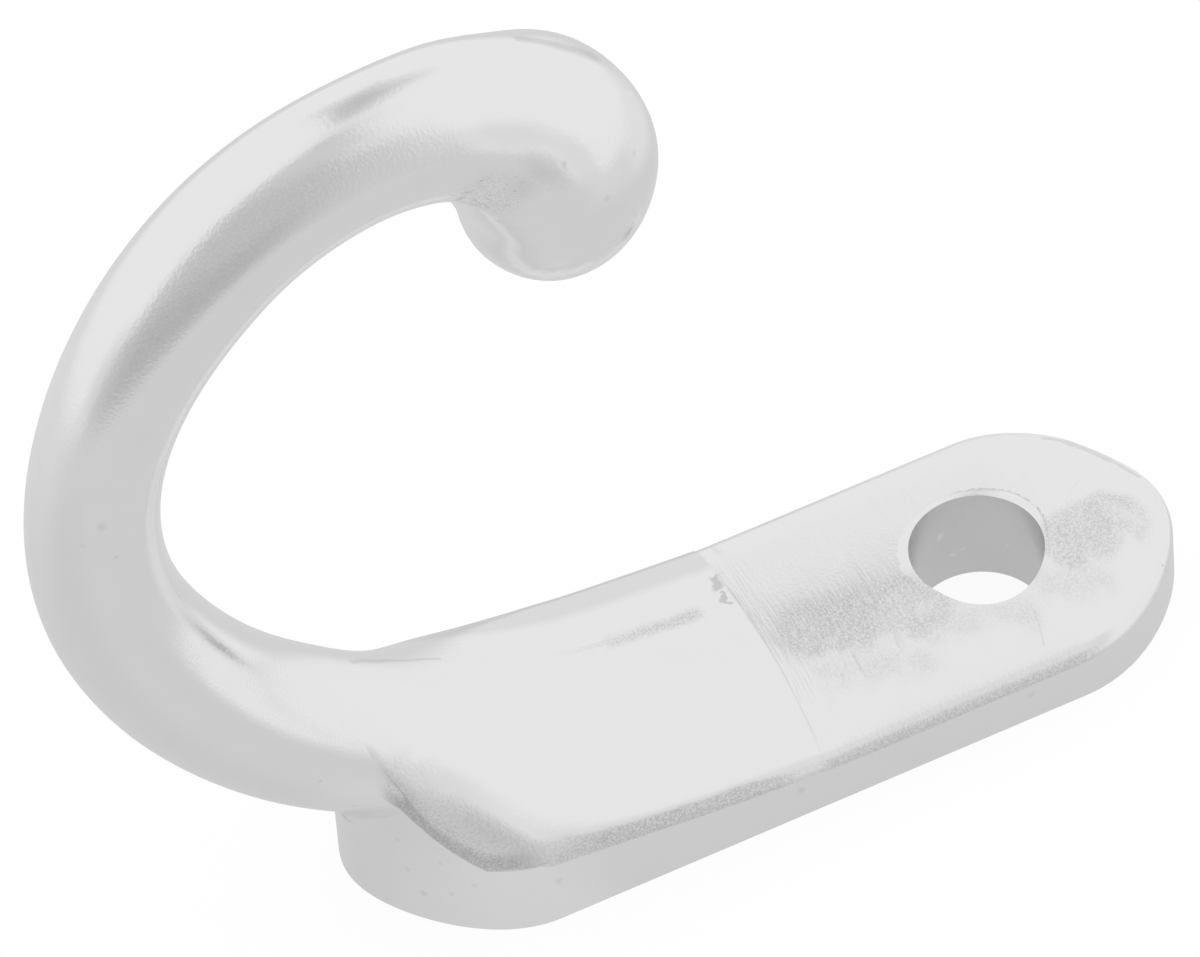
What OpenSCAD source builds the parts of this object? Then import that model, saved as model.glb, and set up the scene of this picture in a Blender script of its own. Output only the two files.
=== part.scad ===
// Curtain tieback hook: one metal casting, a domed oblong wall plate with one
// screw hole and a round bar that curls up over the plate to a knob.
// The plate lies on its flat back. The origin is the screw hole's axis at the
// back face, +Z comes out of the wall, +X runs to the hole end of the plate.

/* [Plate] */
// Length of the plate from tip to tip
plate_len = 30.1; // [26:0.1:37]
// Width of the plate across its long sides
plate_w = 9.94; // [8:0.02:12]
// Height of the domed front above the back, at the screw hole
plate_t = 4.0; // [3.5:0.1:5]
// Length of the rounded nose at the hole end
hole_nose = 5.5; // [4.5:0.1:6.5]
// Length of the rounded nose at the hook end
hook_nose = 5.3; // [4.5:0.1:6.5]
// How far the nose at the hole end is drawn in from an ellipse at its tip
hole_nose_taper = 0.19; // [0:0.01:0.3]
// How far the nose at the hook end is drawn in from an ellipse at its tip
hook_nose_taper = 0.24; // [0:0.01:0.3]
// Height of the upright side wall at the hole end
wall_low = 1.8; // [1.2:0.05:2.2]
// Height of the upright side wall beside the hook's root
wall_high = 3.05; // [2.4:0.05:3.4]
// Fullness of the domed front: 2 is an ellipse, more is squarer
dome_fullness = 2.5; // [2.2:0.1:3.5]
// Distance from the hole's axis to the step across the front
step_x = 8.0; // [7:0.1:10]
// How much the front beside the hook stands proud of the hole end
step_h = 0.08; // [0.04:0.01:0.2]

/* [Screw hole] */
// Diameter of the plain drilled hole
hole_d = 4.5; // [3.5:0.1:5.5]
// Distance from the hole's axis to the tip of the plate
hole_inset = 7.1; // [6:0.1:8]
// How far the hole lies off the long centreline of the plate
hole_aside = 0.52; // [0:0.05:0.8]

/* [Hook] */
// Diameter of the bar where it leaves the plate
root_d = 5.05; // [4.2:0.05:6.2]
// Diameter of the bar at its thinnest, at the back of the bend
waist_d = 4.24; // [3.6:0.1:5]
// Diameter of the bar at the top of the bend
neck_d = 4.56; // [4:0.1:5.2]
// Diameter of the knob at the tip
knob_d = 6.7; // [5.5:0.1:8.2]
// Angle between the bar and the wall where the bar leaves the plate
root_rise = 38.6; // [35:0.1:42]
// Radius of the bar's centreline in its rise from the plate
rise_r = 19.2; // [17:0.1:21]
// Radius of the centreline round the back of the bend
bend_r = 13.8; // [12.5:0.1:15]
// Radius of the centreline over the top of the bend
top_r = 9.4; // [8.5:0.1:11]
// Radius of the centreline where the tip curls back down
curl_r = 5.0; // [4.6:0.1:6]

/* [Hidden] */

// Fineness of the meshed surfaces
nose_steps = 12;
mid_steps = 4;
swell_steps = 12;
dome_steps = 14;
bar_sides = 28;
ring_gap = 0.7;
knob_fn = 28;
hole_fn = 96;
tip_margin = 0.0004;
seam = 0.02;

// How far down the broken edge of the hole reaches from the top of the dome,
// and how far the drill runs past both faces
edge_break_z = 0.25;
overrun = 1;

// Plate: x runs from tail_x at the hook end to nose_x at the hole end
nose_x = hole_inset;
tail_x = hole_inset - plate_len;
half_w = plate_w / 2;

// Swell: past a gentle shelf the front rises in a hollow curve, until it runs
// on in line with the inner side of the bar and stops inside it
shelf_rise = 1.5;
shelf_slope = shelf_rise / (-step_x - tail_x);
swell_from = tail_x + 11.12;
swell_len = 7;
swell_stop = 0.9;
swell_slope = tan(root_rise) - shelf_slope;

// Dome: it rounds off from past the step to just short of the tail
dome_from = step_x + 3;
dome_to = -tail_x - 1.2;
nose_dome = 2.2;
tail_dome = 1.8;

// Side wall: it eases down from beside the root to the hole end
wall_from = 3.5;
wall_run = 14;
wall_ease = 0.8;

// Wall round the tail: it climbs to the side of the bar
climb_len = 3.6;
climb_start = 0.7;
climb_h = 3.0;
climb_power = 1.9;

// How far the outline leans to the far side at the tip of the tail
tail_lean = 0.2;

// Bar: its centreline leaves the plate just beyond the tail
root_x = tail_x - 0.5;
root_z = 7.85;
bury = 6;
bury_d = root_d - 0.3;
flare_d = 0.4;
flare_len = 4;

// Headings of the centreline where its four arcs join, in degrees from +X:
// up and back at the root, then over the top, then down and inward at the tip
headings = [180 - root_rise, 110, 40, -9, -95];
arc_r = [rise_r, bend_r, top_r, curl_r];
arc_len = [for (i = [0 : 3]) (headings[i] - headings[i + 1]) * PI / 180 * arc_r[i]];
arc_end = [
    arc_len[0],
    arc_len[0] + arc_len[1],
    arc_len[0] + arc_len[1] + arc_len[2],
    arc_len[0] + arc_len[1] + arc_len[2] + arc_len[3]
];

// Knob: three balls along the curl, the first two larger than the last
knob_back = [2.95, 1.7, 0.5];
knob_scale = [0.985, 1, 0.91];
knob_tuck = [-0.14, -0.2, 0.12];
bar_stop = 4.2;
bar_end = arc_end[3] - bar_stop;
swallow_d = 5.9;
swallow_len = 3;
waist_s = arc_end[0] + arc_len[1] / 2;
neck_s = arc_end[1];
swell_s = arc_end[2] - swallow_len;

function smooth(t) = let (u = min(max(t, 0), 1)) u * u * (3 - 2 * u);
function mix(a, b, t) = a + (b - a) * t;
function root_of(v, e) = pow(max(v, 0), 1 / e);

// ---- plate ----

// How far into a nose x lies: 0 on the straight sides, 1 at the tip
function into_hole_nose(x) = max(x - nose_x + hole_nose, 0) / hole_nose;
function into_hook_nose(x) = max(tail_x + hook_nose - x, 0) / hook_nose;

// An ellipse drawn in by a share t at its tip, u = 1
function nose(u, t) = sqrt(max(1 - u * u, 0)) * (1 - t * u * u);

// Half of the plate's width at x
function outline(x) =
    half_w * nose(into_hole_nose(x), hole_nose_taper) * nose(into_hook_nose(x), hook_nose_taper);

// Where the middle of the width lies at x
function middle(x) = hole_aside + tail_lean * pow(into_hook_nose(x), 2);

// Height of the side wall at x
function climb(x) = pow(max(tail_x + climb_len - x, 0) / (climb_len - climb_start), climb_power);
function wall(x) =
    mix(wall_high, wall_low, smooth(pow(max(x - tail_x - wall_from, 0) / wall_run, wall_ease)))
    + climb_h * min(climb(x), 1);

// Fullness of the dome at x: it rounds off towards the bar and into the nose
function dome(x) =
    x > 0
        ? mix(dome_fullness, nose_dome, into_hole_nose(x))
        : mix(dome_fullness, tail_dome, smooth((-dome_from - x) / (dome_to - dome_from)));

// Height of the front over the plate's centreline at x
function swell(x) =
    let (
        run = max(swell_from - max(x, tail_x + swell_stop), 0),
        u = min(run / swell_len, 1),
        past = max(run - swell_len, 0)
    )
    swell_slope * (swell_len * (pow(u, 3) - pow(u, 4) / 2) + past);
function ridge(x) =
    x > -step_x
        ? mix(wall(x), plate_t, root_of(1 - pow(into_hole_nose(x), nose_dome), nose_dome))
        : plate_t + step_h + shelf_slope * (-step_x - x) + swell(x);

// Stations along the plate, close together round the two noses
stations = concat(
    [for (i = [0 : nose_steps]) tail_x + hook_nose * (1 - (1 - tip_margin) * cos(90 * i / nose_steps))],
    [for (i = [1 : swell_steps - 1])
        mix(tail_x + hook_nose, -step_x - seam, i / swell_steps)],
    [-step_x - seam, -step_x + seam],
    [for (i = [1 : mid_steps - 1]) mix(-step_x + seam, nose_x - hole_nose, i / mid_steps)],
    [for (i = [nose_steps : -1 : 0]) nose_x - hole_nose * (1 - (1 - tip_margin) * cos(90 * i / nose_steps))]
);

// Cross-section of the plate at x: a flat back, two walls and the dome
function plate_ring(x) =
    let (w = outline(x), mid = middle(x), lo = wall(x), hi = ridge(x), e = 2 / dome(x))
    concat(
        [[x, mid - w, 0]],
        [for (i = [0 : dome_steps])
            let (a = -90 + 180 * i / dome_steps)
            [x, mid + w * sign(a) * pow(abs(sin(a)), e), lo + (hi - lo) * pow(abs(cos(a)), e)]],
        [[x, mid + w, 0]]
    );

// ---- bar ----

// Where an arc of radius r ends up, from point p and heading h, after turning
// clockwise by t degrees
function arc_point(p, h, r, t) = p + r * [sin(h) - sin(h - t), cos(h - t) - cos(h)];

// The points where the arcs join
joints = [
    for (i = 0, p = [root_x, root_z]; i < 4;
         p = arc_point(p, headings[i], arc_r[i], headings[i] - headings[i + 1]), i = i + 1) p
];

// Which arc the distance s along the centreline falls on, and its turn so far
function arc_at(s) = s < arc_end[0] ? 0 : s < arc_end[1] ? 1 : s < arc_end[2] ? 2 : 3;
function turn_at(s) = let (i = arc_at(s)) (s - arc_end[i] + arc_len[i]) / arc_r[i] * 180 / PI;

function heading(s) = s < 0 ? headings[0] : headings[arc_at(s)] - turn_at(s);
function centre(s) =
    s < 0
        ? joints[0] + s * [cos(headings[0]), sin(headings[0])]
        : arc_point(joints[arc_at(s)], headings[arc_at(s)], arc_r[arc_at(s)], turn_at(s));

// Diameter of the bar: tapered inside the plate, thinnest at the waist, even
// over the top and swelling into the knob
function thickness(s) =
    s < 0 ? mix(root_d + flare_d, bury_d, -s / bury) :
    s < waist_s ? mix(root_d, waist_d, smooth((s - flare_len) / (waist_s - flare_len)))
        + flare_d * pow(max(1 - s / flare_len, 0), 2) :
    s < neck_s ? mix(waist_d, neck_d, smooth((s - waist_s) / (neck_s - waist_s))) :
    mix(neck_d, swallow_d, pow(max(s - swell_s, 0) / (bar_end - swell_s), 2));

function bar_ring(s) =
    let (c = centre(s), h = heading(s), r = thickness(s) / 2)
    [for (i = [0 : bar_sides - 1])
        let (a = 360 * i / bar_sides)
        [c[0] + r * sin(a) * sin(h), hole_aside + r * cos(a), c[1] - r * sin(a) * cos(h)]];

// ---- modules ----

// A closed skin over a row of rings that all have the same number of points
module skin(rings) {
    n = len(rings[0]);
    last = len(rings) - 1;
    polyhedron(
        points = [for (ring = rings) each ring],
        faces = concat(
            [[for (i = [n - 1 : -1 : 0]) i]],
            [for (k = [0 : last - 1], i = [0 : n - 1])
                let (a = k * n + i, b = k * n + (i + 1) % n)
                each [[a, b, a + n], [b, b + n, a + n]]],
            [[for (i = [0 : n - 1]) last * n + i]]
        )
    );
}

// The domed plate, with the root's swell at its tail
module plate() {
    skin([for (x = stations) plate_ring(x)]);
}

// The round bar, from inside the plate to inside the knob
module bar() {
    steps = ceil((bar_end + bury) / ring_gap);
    skin([for (i = [0 : steps]) bar_ring(-bury + (bar_end + bury) * i / steps)]);
}

// The rounded knob that the tip curls down into
module knob() {
    hull()
        for (i = [0 : 2])
            let (c = centre(arc_end[3] - knob_back[i]))
            translate([c[0] - knob_tuck[i], hole_aside, c[1]])
                sphere(d = knob_d * knob_scale[i], $fn = knob_fn);
}

// The plain hole, drilled straight through, with its front edge broken
module screw_hole() {
    translate([0, 0, -overrun])
        cylinder(d = hole_d, h = plate_t + 2 * overrun, $fn = hole_fn);
    translate([0, 0, plate_t - edge_break_z])
        cylinder(d1 = hole_d, d2 = hole_d + 2 * edge_break_z, h = edge_break_z, $fn = hole_fn);
}

module hook() {
    color("silver")
        difference() {
            union() {
                plate();
                bar();
                knob();
            }
            screw_hole();
        }
}

hook();
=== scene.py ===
"""Looks of a curtain tieback hook: one zinc casting, plated bright and part-linished.

The casting is one closed mesh in place of the CAD solid. It is grown from the root of the
bar: a domed wall plate to one side, the curling bar and its knob to the other. The plate's
hole is drilled last. Sizes are in millimetres until the mesh is finished.
"""

import logging
from collections.abc import Callable, Mapping, Sequence
from dataclasses import dataclass
from enum import Enum
from math import asin, atan2, cos, degrees, exp, pi, radians, sin, sqrt

import bmesh
import bpy
from bmesh.types import BMEdge, BMesh, BMVert
from bpy.types import Material, Node, NodeSocket, NodeTree, Object
from mathutils import Matrix, Vector


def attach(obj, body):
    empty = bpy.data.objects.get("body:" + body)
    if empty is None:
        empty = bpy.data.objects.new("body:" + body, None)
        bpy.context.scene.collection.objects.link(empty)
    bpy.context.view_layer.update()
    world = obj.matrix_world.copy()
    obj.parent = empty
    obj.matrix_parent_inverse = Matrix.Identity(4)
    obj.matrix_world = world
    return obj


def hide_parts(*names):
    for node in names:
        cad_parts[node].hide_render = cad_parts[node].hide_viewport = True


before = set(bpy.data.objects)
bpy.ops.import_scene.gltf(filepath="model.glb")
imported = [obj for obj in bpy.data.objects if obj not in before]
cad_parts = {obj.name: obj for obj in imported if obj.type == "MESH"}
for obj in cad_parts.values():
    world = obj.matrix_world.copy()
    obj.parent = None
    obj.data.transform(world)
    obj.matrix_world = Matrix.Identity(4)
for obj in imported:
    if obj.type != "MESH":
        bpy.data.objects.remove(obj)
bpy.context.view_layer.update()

BODY = "root"
NODE = "hook"
MM = 0.001
HALVINGS = 40
WELD_GAP = 1e-4
SHARP_ANGLE = 32.0

Span = tuple[float, float]

log = logging.getLogger("tieback_hook")


class Side(Enum):
    """A side of the casting: the near one lies towards -Y."""

    NEAR = "near"
    FAR = "far"


# ---- shared curves ----


def mix(a: float, b: float, t: float) -> float:
    """Blend from a to b."""
    return a + (b - a) * t


def smooth(t: float) -> float:
    """Ease from 0 to 1 as t goes from 0 to 1, and stay there."""
    u = min(max(t, 0.0), 1.0)
    return u * u * (3 - 2 * u)


def soft_max(a: float, b: float, k: float) -> float:
    """The larger of two values, rounded over a width k where they cross."""
    h = max(k - abs(a - b), 0.0) / k
    return max(a, b) + h * h * k / 4


def crossing(test: Callable[[float], float], low: float, high: float) -> float:
    """Where a rising function passes zero, found by halving the span.

    Args:
        test: The function.
        low: Where it is below zero.
        high: Where it is above zero.

    Returns:
        The place between them.
    """
    for _ in range(HALVINGS):
        half = (low + high) / 2
        low, high = (low, half) if test(half) > 0 else (half, high)
    return (low + high) / 2


# ---- the forms of the casting ----


@dataclass(frozen=True)
class PlateForm:
    """The domed wall plate: its outline, its side wall and its crowned front.

    The long centreline lies aside from the hole's axis, which is the origin.
    """

    length: float = 30.1
    width: float = 9.94
    height: float = 4.0
    hole_inset: float = 7.1
    aside: float = 0.52
    hole_nose: float = 5.5
    hook_nose: float = 5.3
    hole_nose_taper: float = 0.19
    hook_nose_taper: float = 0.24
    tail_lean: float = 0.2
    wall_low: float = 1.8
    wall_high: float = 3.05
    wall_from: float = 19.5
    wall_run: float = 14.0
    wall_ease: float = 0.8
    climb_from: float = 3.6
    climb_rise: float = 0.4
    climb_power: float = 1.9
    step_at: float = 8.0
    step: float = 0.08
    shelf_slope: float = 0.1
    swell_from: float = 11.7
    swell_len: float = 7.0
    swell_slope: float = 0.6
    swell_bend: float = 0.024
    flatness: float = 0.78
    nose_flatness: float = 0.66
    edge_power: float = 11.0
    worn_edge: float = 0.19
    worn_corner: float = 56.0
    worn_power: float = 2.3
    worn_until: float = 0.80
    worn_fade: float = 0.55
    root_at: float = 21.75
    root_level: float = 5.3
    root_slant: float = 1.15
    root_span: float = 4.2
    root_from: float = 13.5
    root_pinch: float = 5.0
    corner_reach: float = 1.6

    @property
    def half(self) -> float:
        """Half of the width."""
        return self.width / 2

    @property
    def tail(self) -> float:
        """Where the plate ends under the bar."""
        return self.hole_inset - self.length

    @property
    def nose_from(self) -> float:
        """Where the hole end starts to round off."""
        return self.hole_inset - self.hole_nose

    def half_width(self, x: float) -> float:
        """Half of the width at x, behind the hole end's nose."""
        u = min(max(self.tail + self.hook_nose - x, 0) / self.hook_nose, 1)
        return self.half * sqrt(1 - u * u) * (1 - self.hook_nose_taper * u * u)

    def middle(self, x: float) -> float:
        """Where the middle of the width lies at x; it leans aside towards the tail."""
        u = min(max(self.tail + self.hook_nose - x, 0) / self.hook_nose, 1)
        return self.aside + self.tail_lean * u * u

    def wall(self, x: float) -> float:
        """Height of the upright side wall at x."""
        fall = smooth(max((x + self.wall_from) / self.wall_run, 0) ** self.wall_ease)
        climb = max(self.tail + self.climb_from - x, 0) ** self.climb_power
        return mix(self.wall_high, self.wall_low, fall) + self.climb_rise * climb

    def ridge(self, x: float) -> float:
        """Height of the front over the centreline at x."""
        if x > -self.step_at:
            return self.height
        u = min(max((-self.swell_from - x) / self.swell_len, 0), 1)
        past = max(-self.swell_from - self.swell_len - x, 0)
        rise = self.swell_slope * (self.swell_len * (u**3 - u**4 / 2) + past)
        rise += self.swell_bend * past * past
        return self.height + self.step - self.shelf_slope * (x + self.step_at) + rise

    def crown(self, rho: float, flatness: float, worn: float) -> float:
        """Share of the dome's height at a share rho of the way out to the edge.

        Args:
            rho: 0 on the centreline, 1 at the edge.
            flatness: Share of the height that is lost only close to the edge.
            worn: 1 where the wheel has rounded the dome down to a small corner, 0 where not.

        Returns:
            1 on the centreline, falling to 0 at the edge.
        """
        full = flatness * (1 - rho**self.edge_power) + (1 - flatness) * (1 - rho * rho)
        corner = self.worn_edge * (1 - rho**self.worn_corner)
        low = corner + (1 - self.worn_edge) * (1 - rho**self.worn_power)
        return mix(full, low, worn)

    def front(self, x: float, share: float) -> Vector:
        """Point on the domed front at x, a share from -1 to 1 of the way across."""
        low, high = self.wall(x), self.ridge(x)
        rise = self.crown(abs(share), self.flatness, 1.0 if share < 0 else 0.0)
        across = self.middle(x) + self.half_width(x) * share
        return Vector((x, across, low + (high - low) * rise))

    def nose_point(self, turn: float, rho: float) -> Vector:
        """Point on the front of the hole end's nose.

        Args:
            turn: Angle round the nose, from -90 to 90 degrees, in radians.
            rho: 0 at the nose's centre, 1 at its edge.

        Returns:
            The point.
        """
        u = cos(turn)
        reach = self.hole_nose * u
        side = self.half * sin(turn) * (1 - self.hole_nose_taper * u * u)
        low = self.wall(self.nose_from + reach)
        worn = smooth((self.worn_until - sin(turn)) / self.worn_fade)
        rise = self.crown(rho, mix(self.flatness, self.nose_flatness, u * u), worn)
        return Vector(
            (
                self.nose_from + rho * reach,
                self.aside + rho * side,
                low + (self.height - low) * rise,
            )
        )


@dataclass(frozen=True)
class BarForm:
    """The round bar: four arcs in one upright plane, and its thickness along them."""

    aside: float = 0.52
    root: Span = (-23.5, 7.85)
    headings: tuple[float, ...] = (141.4, 110.0, 40.0, -9.0, -95.0)
    radii: tuple[float, ...] = (19.2, 13.8, 9.4, 5.0)
    root_d: float = 5.05
    waist_d: float = 4.24
    neck_d: float = 4.56
    swallow_d: float = 5.9
    flare: float = 0.2
    flare_len: float = 6.0
    toe: float = 1.15
    toe_power: int = 5
    thin_from: float = 4.0
    toe_from: float = -0.8
    toe_len: float = 2.2
    swallow_len: float = 3.0
    swallow_limit: float = 1.2
    bar_stop: float = 4.2

    def arc_length(self, i: int) -> float:
        """Length of one arc of the centreline."""
        return radians(self.headings[i] - self.headings[i + 1]) * self.radii[i]

    def arc_end(self, i: int) -> float:
        """Distance along the centreline at which an arc ends."""
        return sum(self.arc_length(k) for k in range(i + 1))

    def arc_at(self, s: float) -> int:
        """Which arc the distance s falls on."""
        return next((i for i in range(3) if s < self.arc_end(i)), 3)

    def heading(self, s: float) -> float:
        """Direction of the centreline at s, in radians from +X towards +Z."""
        i = self.arc_at(s)
        start = self.arc_end(i) - self.arc_length(i)
        return radians(self.headings[i]) - (s - start) / self.radii[i]

    def joint(self, i: int) -> Vector:
        """Where arc i starts, in the bar's own plane, as X and Z."""
        point = Vector((self.root[0], 0, self.root[1]))
        for k in range(i):
            h, n = radians(self.headings[k]), radians(self.headings[k + 1])
            turn = Vector((sin(h) - sin(n), 0, cos(n) - cos(h)))
            point += self.radii[k] * turn
        return point

    def centre(self, s: float) -> Vector:
        """Point on the centreline at s."""
        i, h = self.arc_at(s), self.heading(s)
        g = radians(self.headings[i])
        turn = Vector((sin(g) - sin(h), 0, cos(h) - cos(g)))
        return self.joint(i) + self.radii[i] * turn + Vector((0, self.aside, 0))

    def inward(self, s: float) -> Vector:
        """Unit direction from the centreline to the inner side of the bend at s."""
        h = self.heading(s)
        return Vector((sin(h), 0, -cos(h)))

    def radius(self, s: float) -> float:
        """Radius of the bar at s."""
        waist = self.arc_end(0) + self.arc_length(1) / 2
        neck = self.arc_end(1)
        swell = self.arc_end(2) - self.swallow_len
        stop = self.arc_end(3) - self.bar_stop
        if s < waist:
            thin = smooth((s - self.thin_from) / (waist - self.thin_from))
            flare = self.flare * (1 - smooth(s / self.flare_len))
            return (mix(self.root_d, self.waist_d, thin) + flare) / 2
        if s < neck:
            return mix(self.waist_d, self.neck_d, smooth((s - waist) / (neck - waist))) / 2
        share = max(s - swell, 0) / (stop - swell)
        return mix(self.neck_d, self.swallow_d, min(share, self.swallow_limit) ** 2) / 2

    def ring_point(self, s: float, turn: float) -> Vector:
        """Point round the bar at s. Turn 0 is the far side and 90 degrees the inner side."""
        spoke = Vector((0, cos(turn), 0)) + sin(turn) * self.inward(s)
        near = max((self.toe_from - s) / self.toe_len, 0)
        toe = self.toe * near**2 * max(-sin(turn), 0) ** self.toe_power
        return self.centre(s) + (self.radius(s) + toe) * spoke


@dataclass(frozen=True)
class KnobForm:
    """The knob: three balls along the curl, run together with the bar."""

    diameter: float = 6.72
    back: tuple[float, ...] = (2.95, 1.7, 0.5)
    scale: tuple[float, ...] = (0.985, 1.0, 0.91)
    tuck: tuple[float, ...] = (-0.14, -0.2, 0.12)
    blend: float = 0.5
    side_blend: float = 0.8
    crease: float = 0.22
    sway: float = 0.6
    soften: float = 9.0
    soften_share: float = 0.35
    soften_steps: int = 8
    nowhere: float = 1000.0

    def balls(self, bar: BarForm) -> list[tuple[Vector, float]]:
        """Centre and radius of each ball."""
        end = bar.arc_end(3)
        return [
            (bar.centre(end - b) - Vector((t, 0, 0)), self.diameter * k / 2)
            for b, k, t in zip(self.back, self.scale, self.tuck)
        ]

    def hub(self, bar: BarForm) -> Vector:
        """The point that the curl turns about."""
        s = bar.arc_end(2)
        return bar.centre(s) + bar.radii[3] * bar.inward(s)

    def last_heading(self, bar: BarForm) -> float:
        """Heading at which a plane through the hub only just touches the last ball."""
        centre, radius = self.balls(bar)[-1]
        arm = centre - self.hub(bar)
        return atan2(-arm.x, arm.z) - asin(radius / arm.length)

    def section(self, bar: BarForm, heading: float) -> tuple[float, float, float, float]:
        """Cut the curl with the plane through the hub that faces a heading.

        Args:
            bar: The bar that the knob ends.
            heading: Direction that the plane faces, in radians.

        Returns:
            Distance from the hub to the inner side, to the widest place and to the
            outer side, and half of the width.
        """
        out = Vector((-sin(heading), 0, cos(heading)))
        along = Vector((cos(heading), 0, sin(heading)))
        start = radians(bar.headings[3])
        s = bar.arc_end(2) + (start - heading) * bar.radii[3]
        past = max(s - bar.arc_end(3) + bar.bar_stop, 0) / bar.bar_stop
        r = bar.radius(s) * sqrt(max(1 - past * past, 0.0))
        inner, outer, half = bar.radii[3] - r, bar.radii[3] + r, r
        if r <= 0:
            inner, outer, half = self.nowhere, -self.nowhere, 0.0
        weight = exp(half / self.sway)
        sway = bar.radii[3] * weight
        for centre, radius in self.balls(bar):
            arm = centre - self.hub(bar)
            off = arm.dot(along)
            if abs(off) >= radius:
                continue
            q = sqrt(radius * radius - off * off)
            reach = arm.dot(out)
            inner = -soft_max(-inner, q - reach, self.crease)
            outer = soft_max(outer, reach + q, self.blend)
            half = soft_max(half, q, self.side_blend)
            sway += reach * exp(q / self.sway)
            weight += exp(q / self.sway)
        return inner, sway / weight, outer, half

    def soft_section(self, bar: BarForm, heading: float, last: float) -> list[float]:
        """The section averaged over a few degrees of heading, less and less near the tip.

        Args:
            bar: The bar that the knob ends.
            heading: Direction that the plane faces, in radians.
            last: Heading of the tip, in radians.

        Returns:
            The four values of a section.
        """
        width = min(radians(self.soften), self.soften_share * (heading - last))
        n = self.soften_steps
        cuts = [self.section(bar, heading + width * (2 * i / n - 1)) for i in range(n + 1)]
        weights = [sin(pi * (i + 1) / (n + 2)) ** 2 for i in range(n + 1)]
        return [sum(w * v for w, v in zip(weights, row)) / sum(weights) for row in zip(*cuts)]


@dataclass(frozen=True)
class HoleForm:
    """The plain drilled screw hole, with its front edge broken by a rounded rim."""

    diameter: float = 4.5
    rim: tuple[Span, ...] = ((0.0, 3.86), (0.24, 3.97), (0.6, 4.08), (1.0, 4.6))
    overrun: float = 1.0
    sides: int = 160


# ---- building the mesh ----


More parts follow.
